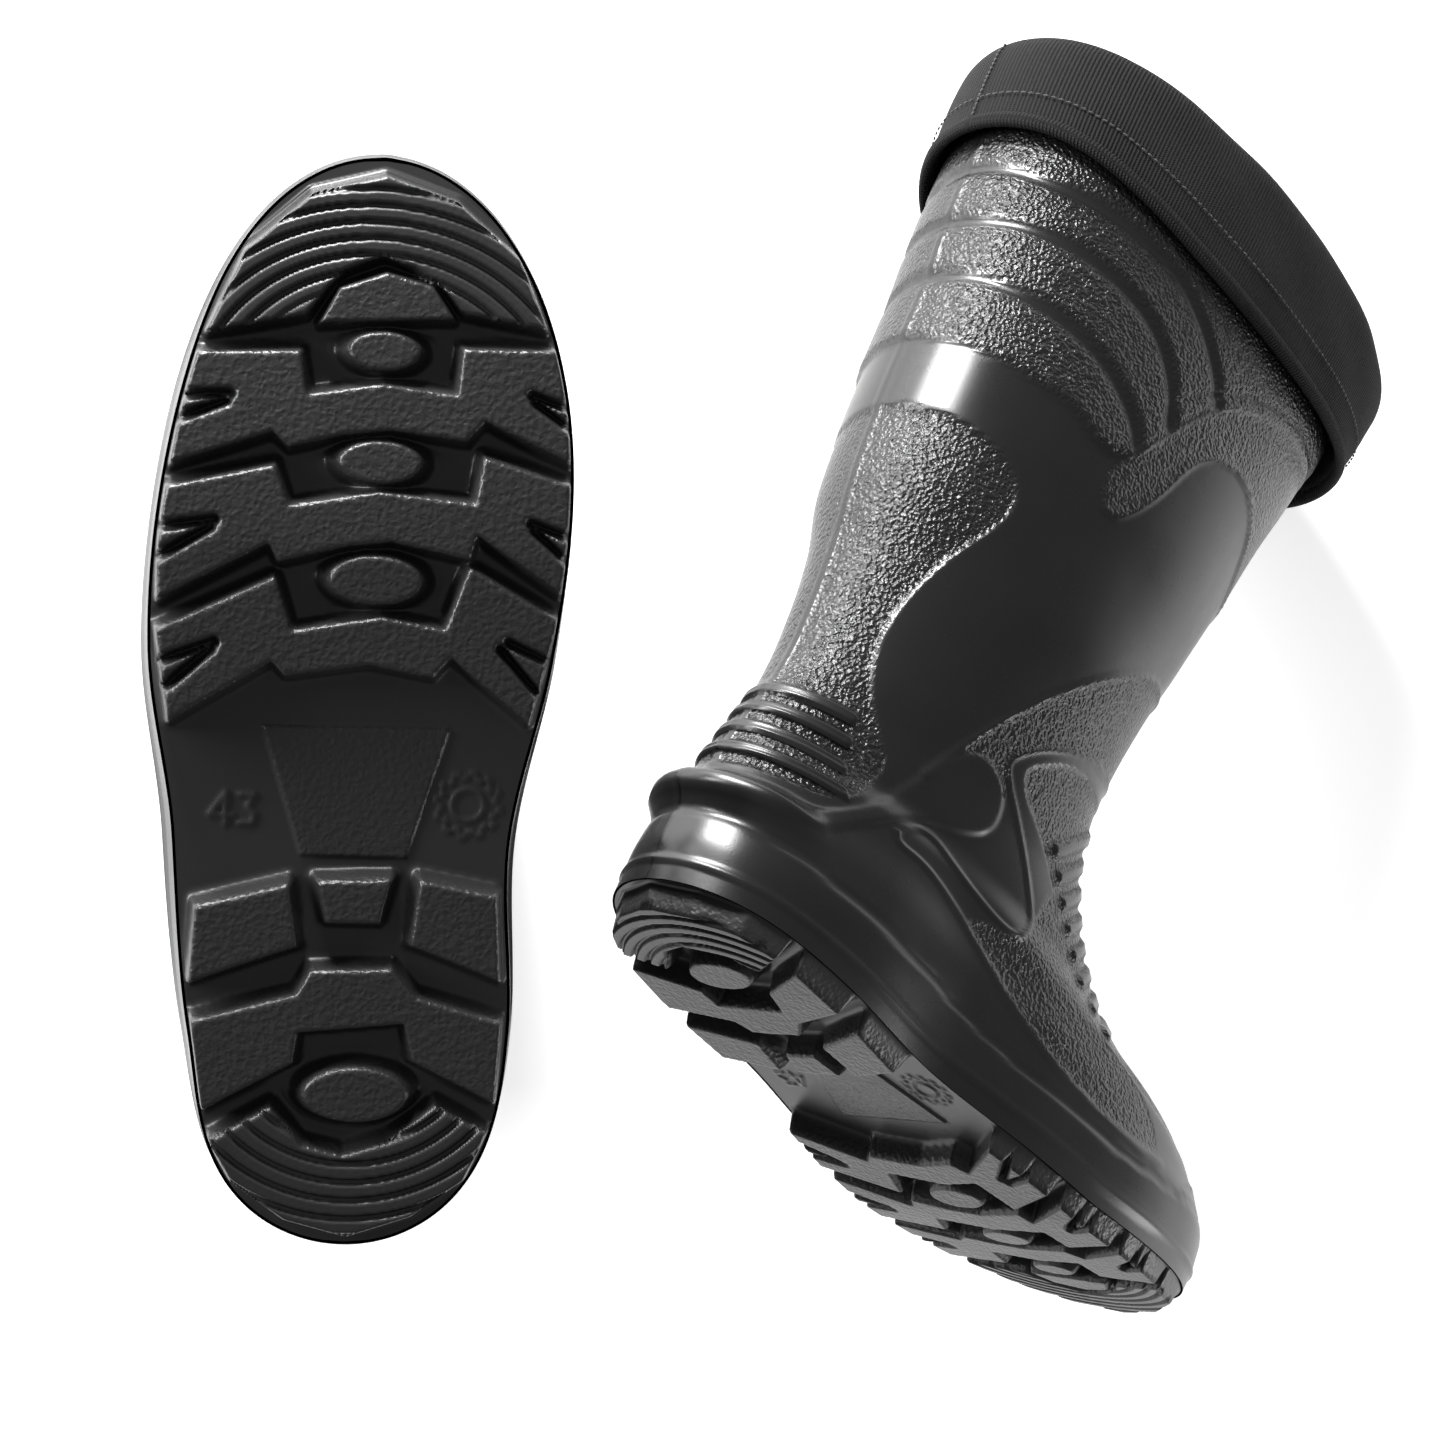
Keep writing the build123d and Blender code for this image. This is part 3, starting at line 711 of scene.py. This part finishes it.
def pad(side, name, node_name, low, high, edge, mat, body):
    """Flat pad on the footbed with a rounded edge."""
    cols = 160
    levels = [shifted(inset(FOOTBED, edge + 1.2), low), shifted(inset(FOOTBED, edge), low + 1.2),
              shifted(inset(FOOTBED, edge), high - 1.2), shifted(inset(FOOTBED, edge + 1.2), high)]
    body_rows = surface(levels, 10, cols, even=False)
    top = [np.column_stack([body_rows[-1][:, 0] * k, body_rows[-1][:, 1], body_rows[-1][:, 2]])
           for k in (0.7, 0.35, 0)]
    under = [np.column_stack([body_rows[0][:, 0] * k, body_rows[0][:, 1], body_rows[0][:, 2]])
             for k in (0, 0.5)]
    P = np.concatenate([np.array(under), body_rows, np.array(top)])
    return make(side, name, P, quads(len(P), cols), mat, body, (node_name,))


for side in PLACES:
    upper(side)
    sole(side)
    pad(side, "insole_pad", "insole", 0.3, PLATE, 1.5, PAD, "boot")
    pad(side, "liner_sole_pad", "liner_sole", PLATE + 0.6, 2 * PLATE, 2.5, FELT, "liner")
    foot_start = shifted(FOOTBED, 2 * PLATE + 0.4)
    foot = [inset(foot_start, 2.0 - WALL - FIT), *CAVITY[1:CAVITY.index(ANKLE)], LINER_ANKLE]
    tube(side, "liner_foot_felt", "liner_foot", foot, WALL + FIT, WALL + FIT + LINER)
    tube(side, "liner_leg_felt", "liner_leg", [shifted(LINER_ANKLE, 0.3), *LEG, SLEEVE_TOP], WALL + FIT,
         WALL + FIT + LINER, rows=80)
    cuff(side)
    hem(side)
    stitch_level = ring((-44.8, 366.5), (206.8, 382), 67.9)
    stitch_line = dipped(loop_line(stitch_level)[None])[0]
    stitches(side, "hem_stitches", "cuff_hem_stitching", stitch_line)
    inside_wall = WALL + FIT + LINER
    stitches(side, "cuff_join_stitches", "cuff_join_seam", loop_line(inset(SLEEVE_TOP, inside_wall + 0.3)))
    stitches(side, "ankle_stitches", "ankle_seam", loop_line(inset(shifted(LINER_ANKLE, 0.2), inside_wall + 0.3)))
    stitches(side, "sole_stitches", "sole_seam",
             loop_line(inset(shifted(FOOTBED, 2 * PLATE + 1.5), 5.0)))
    rear = [(0, -43.6, 357), (0, -45.9, 374), (0, -47.2, 391), (0, -46.0, 398)]
    stitches(side, "cuff_back_stitches", "cuff_back_seam", np.array(rear, float), 2.4, 0.6, closed=False)
    rear = [(0, l[0][0] + inside_wall + 0.2, l[0][1] + 1) for l in [ANKLE, *LEG]]
    stitches(side, "leg_back_stitches", "leg_back_seam", np.array(rear, float), 3.2, 0.5, closed=False)

# ---- floor, light and camera ----
pale = material("backdrop", (0.88, 0.88, 0.88), 0.9, Emission_Color=(1, 1, 1, 1),
                Emission_Strength=0.62)
bpy.ops.mesh.primitive_plane_add(size=12, location=(0, 0, -0.002))
floor = bpy.context.object
floor.name = "floor"
floor.data.materials.append(pale)

world = bpy.data.worlds.new("studio")
bpy.context.scene.world = world
world.use_nodes = True
world.node_tree.nodes["Background"].inputs[0].default_value = (1, 1, 1, 1)
world.node_tree.nodes["Background"].inputs[1].default_value = 0.24


def softbox(name, place, target, size, power):
    data = bpy.data.lights.new(name, "AREA")
    data.shape = "RECTANGLE"
    data.size, data.size_y = size
    data.energy = power
    lamp = bpy.data.objects.new(name, data)
    bpy.context.scene.collection.objects.link(lamp)
    from_to = np.array(target) - np.array(place)
    z = -from_to / np.linalg.norm(from_to)
    x = np.cross((0, 1, 0.01), z)
    x /= np.linalg.norm(x)
    y = np.cross(z, x)
    lamp.matrix_world = Matrix([[*row, p] for row, p in zip(np.column_stack([x, y, z]), place)]
                               + [[0, 0, 0, 1]])
    return lamp


softbox("left_box", (-1.35, 0.7, 0.75), (0, 0, 0.2), (0.4, 1.2), 34)
softbox("top_box", (-0.5, 1.6, 0.62), (0, 0, 0.2), (0.8, 0.4), 70)
softbox("right_box", (1.4, -0.9, 0.35), (0, 0, 0.15), (0.3, 0.8), 8)

camera_data = bpy.data.cameras.new("camera")
camera_data.lens, camera_data.sensor_width = 64.0, 36.0
camera = bpy.data.objects.new("camera", camera_data)
bpy.context.scene.collection.objects.link(camera)
right = np.array((0.986882, 0, 0.161443))
up = np.array((0.008575, 0.998588, -0.052418))
back = -np.array((0.161215, -0.053115, -0.985489))
spot = np.array((-0.2104, 0.0378, 1.1480))
camera.matrix_world = Matrix([[right[i], up[i], back[i], spot[i]] for i in range(3)] + [[0, 0, 0, 1]])
bpy.context.scene.camera = camera
bpy.context.scene.view_settings.view_transform = "Standard"
